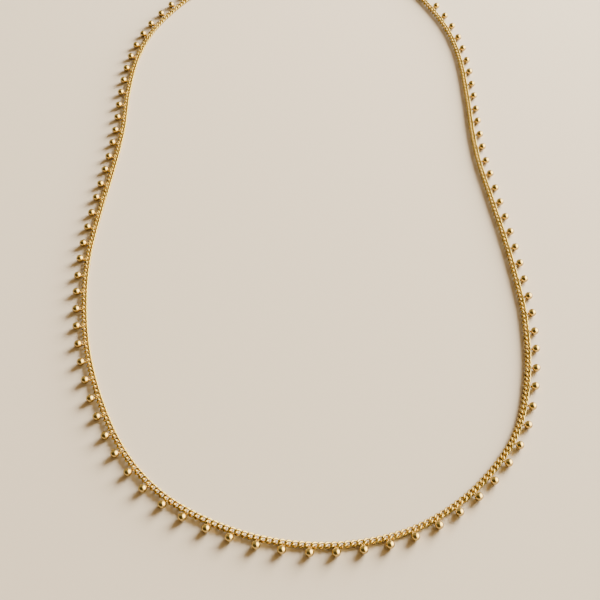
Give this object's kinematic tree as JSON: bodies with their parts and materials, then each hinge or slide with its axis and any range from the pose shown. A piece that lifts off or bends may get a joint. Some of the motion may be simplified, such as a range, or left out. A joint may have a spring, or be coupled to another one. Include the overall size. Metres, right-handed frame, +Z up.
{
  "type": "ball chain necklace",
  "caption": "Fine polished gold curb chain necklace with small round balls soldered along its outer edge, lying open, with a plain ring clasp at the back.",
  "frame": {"origin": "middle of the bounding box on the surface that the necklace lies on", "axes": "+Z up from that surface, +Y from the front of the necklace to its clasp, +X to the right as the picture shows it"},
  "size_m": [0.0948, 0.184, 0.0024],
  "materials": {
    "gold": "polished yellow gold"
  },
  "bodies": {
    "root": {"chain_right": "gold", "chain_left": "gold", "balls_right": "gold", "balls_left": "gold", "end_link_right": "gold", "end_link_left": "gold", "jump_ring_right": "gold", "jump_ring_left": "gold", "clasp": "gold"}
  },
  "joints": []
}
